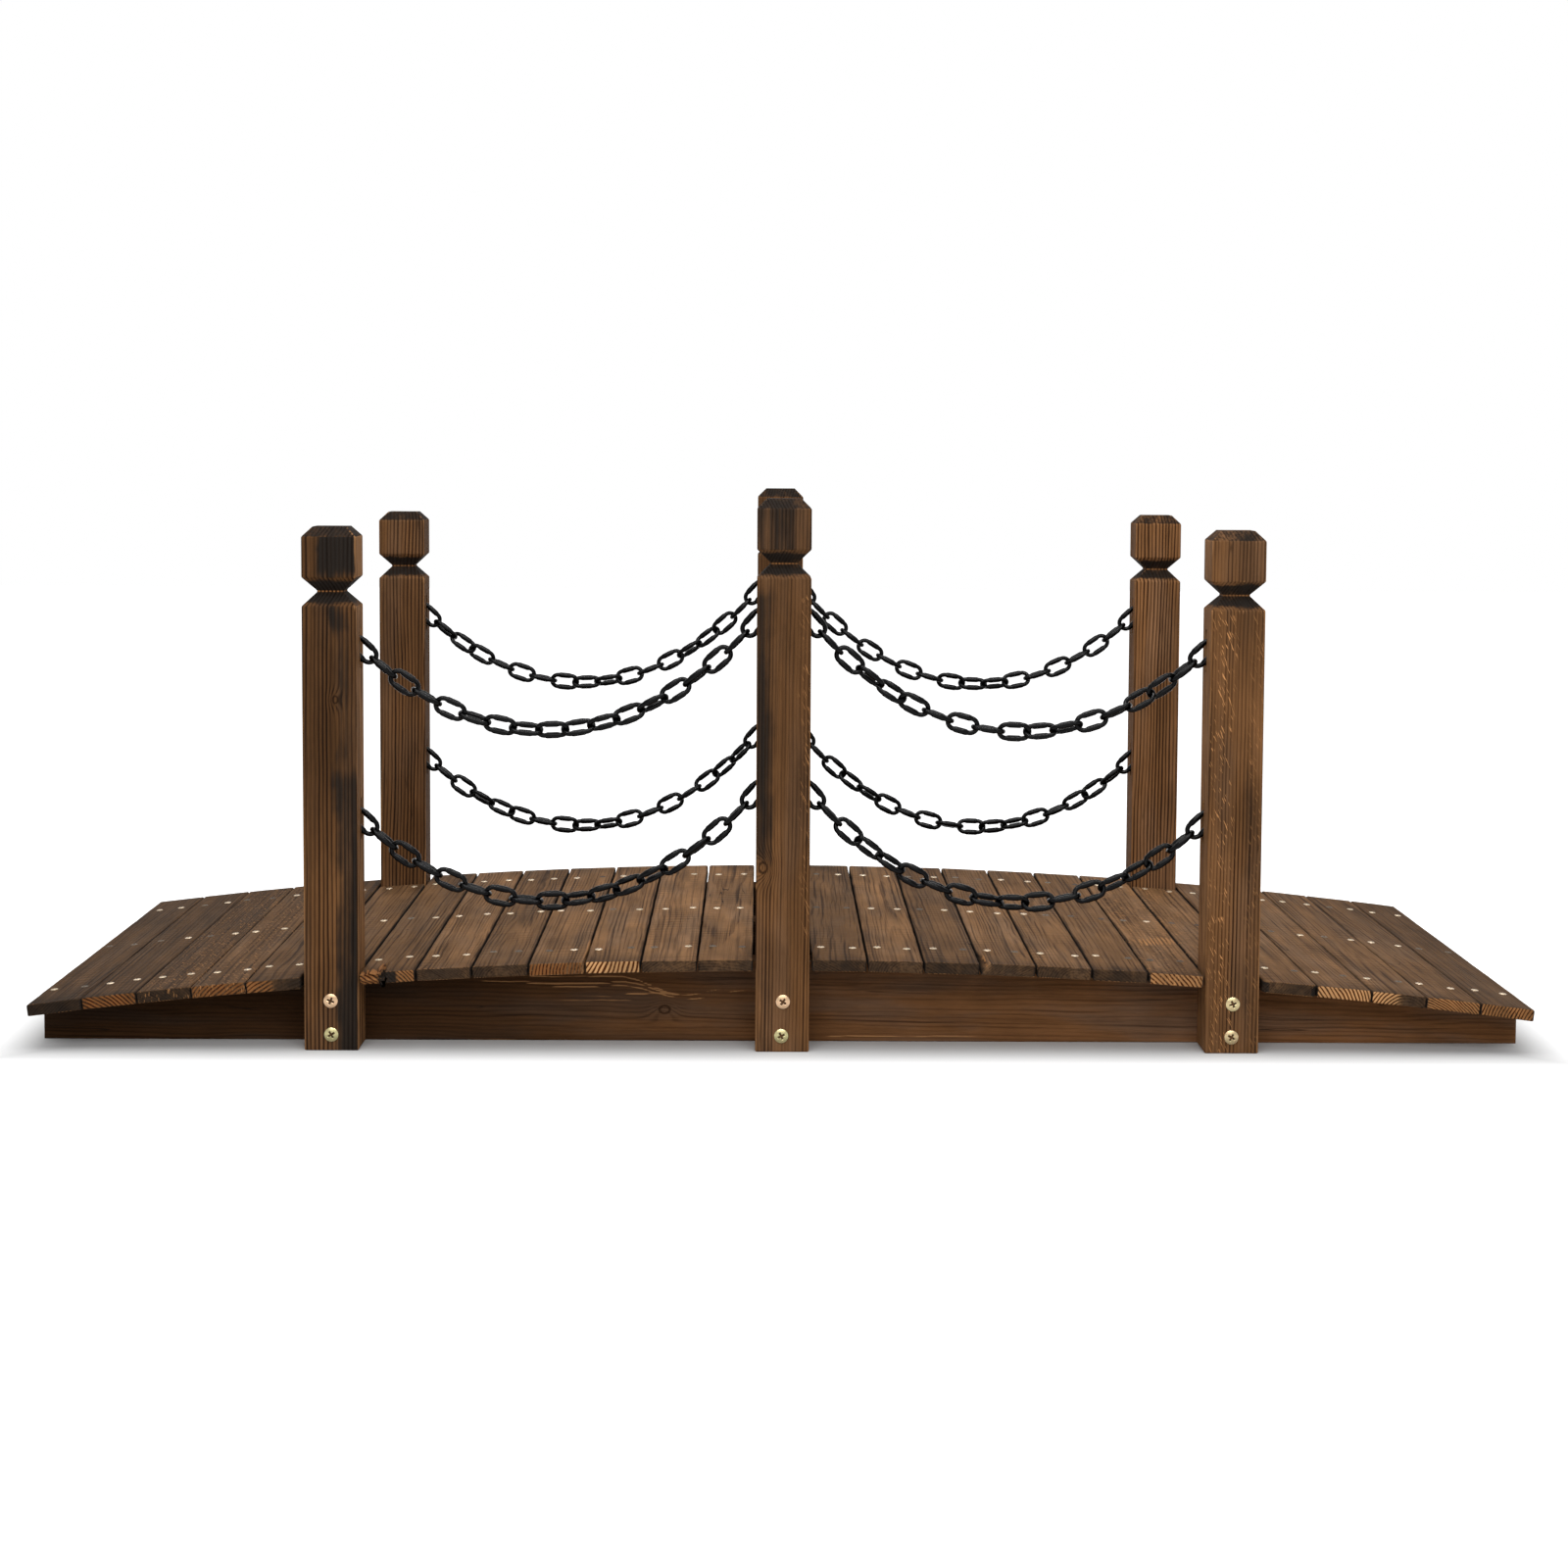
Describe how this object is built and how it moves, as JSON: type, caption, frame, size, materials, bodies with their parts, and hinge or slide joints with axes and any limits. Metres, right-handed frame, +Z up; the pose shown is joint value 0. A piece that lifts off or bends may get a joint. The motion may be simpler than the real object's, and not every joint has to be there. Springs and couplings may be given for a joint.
{
  "type": "low arched garden footbridge with posts and chain rails",
  "caption": "Low arched wooden garden footbridge: charred planks on flat-bottomed joists, notched square posts and black hanging chain rails.",
  "frame": {"origin": "on the ground, under the middle of the deck, midway between the two rows of posts", "axes": "+X along the walkway, +Y from the front row of posts to the back row, +Z up"},
  "size_m": [1.524, 0.673, 0.559],
  "materials": {
    "plank_wood": "lightly charred and brushed softwood, grey-brown, matt",
    "joist_wood": "charred softwood, dark brown to black, matt",
    "post_wood": "charred and brushed softwood, warm brown with black bands, low sheen",
    "chain_steel": "glossy black coating",
    "screw_zinc": "yellow-passivated zinc, satin"
  },
  "bodies": {
    "root": {"deck_plank_01": "plank_wood", "deck_plank_02": "plank_wood", "deck_plank_03": "plank_wood", "deck_plank_04": "plank_wood", "deck_plank_05": "plank_wood", "deck_plank_06": "plank_wood", "deck_plank_07": "plank_wood", "deck_plank_08": "plank_wood", "deck_plank_09": "plank_wood", "deck_plank_10": "plank_wood", "deck_plank_11": "plank_wood", "deck_plank_12": "plank_wood", "deck_plank_13": "plank_wood", "deck_plank_14": "plank_wood", "deck_plank_15": "plank_wood", "deck_plank_16": "plank_wood", "deck_plank_17": "plank_wood", "deck_plank_18": "plank_wood", "deck_plank_19": "plank_wood", "deck_plank_20": "plank_wood", "deck_plank_21": "plank_wood", "deck_plank_22": "plank_wood", "deck_plank_23": "plank_wood", "deck_plank_24": "plank_wood", "deck_plank_25": "plank_wood", "deck_plank_26": "plank_wood", "deck_plank_27": "plank_wood", "front_joist": "joist_wood", "middle_joist": "joist_wood", "back_joist": "joist_wood", "front_left_post": "post_wood", "front_middle_post": "post_wood", "front_right_post": "post_wood", "back_left_post": "post_wood", "back_middle_post": "post_wood", "back_right_post": "post_wood", "front_left_upper_chain": "chain_steel", "front_left_lower_chain": "chain_steel", "front_right_upper_chain": "chain_steel", "front_right_lower_chain": "chain_steel", "back_left_upper_chain": "chain_steel", "back_left_lower_chain": "chain_steel", "back_right_upper_chain": "chain_steel", "back_right_lower_chain": "chain_steel"}
  },
  "joints": []
}
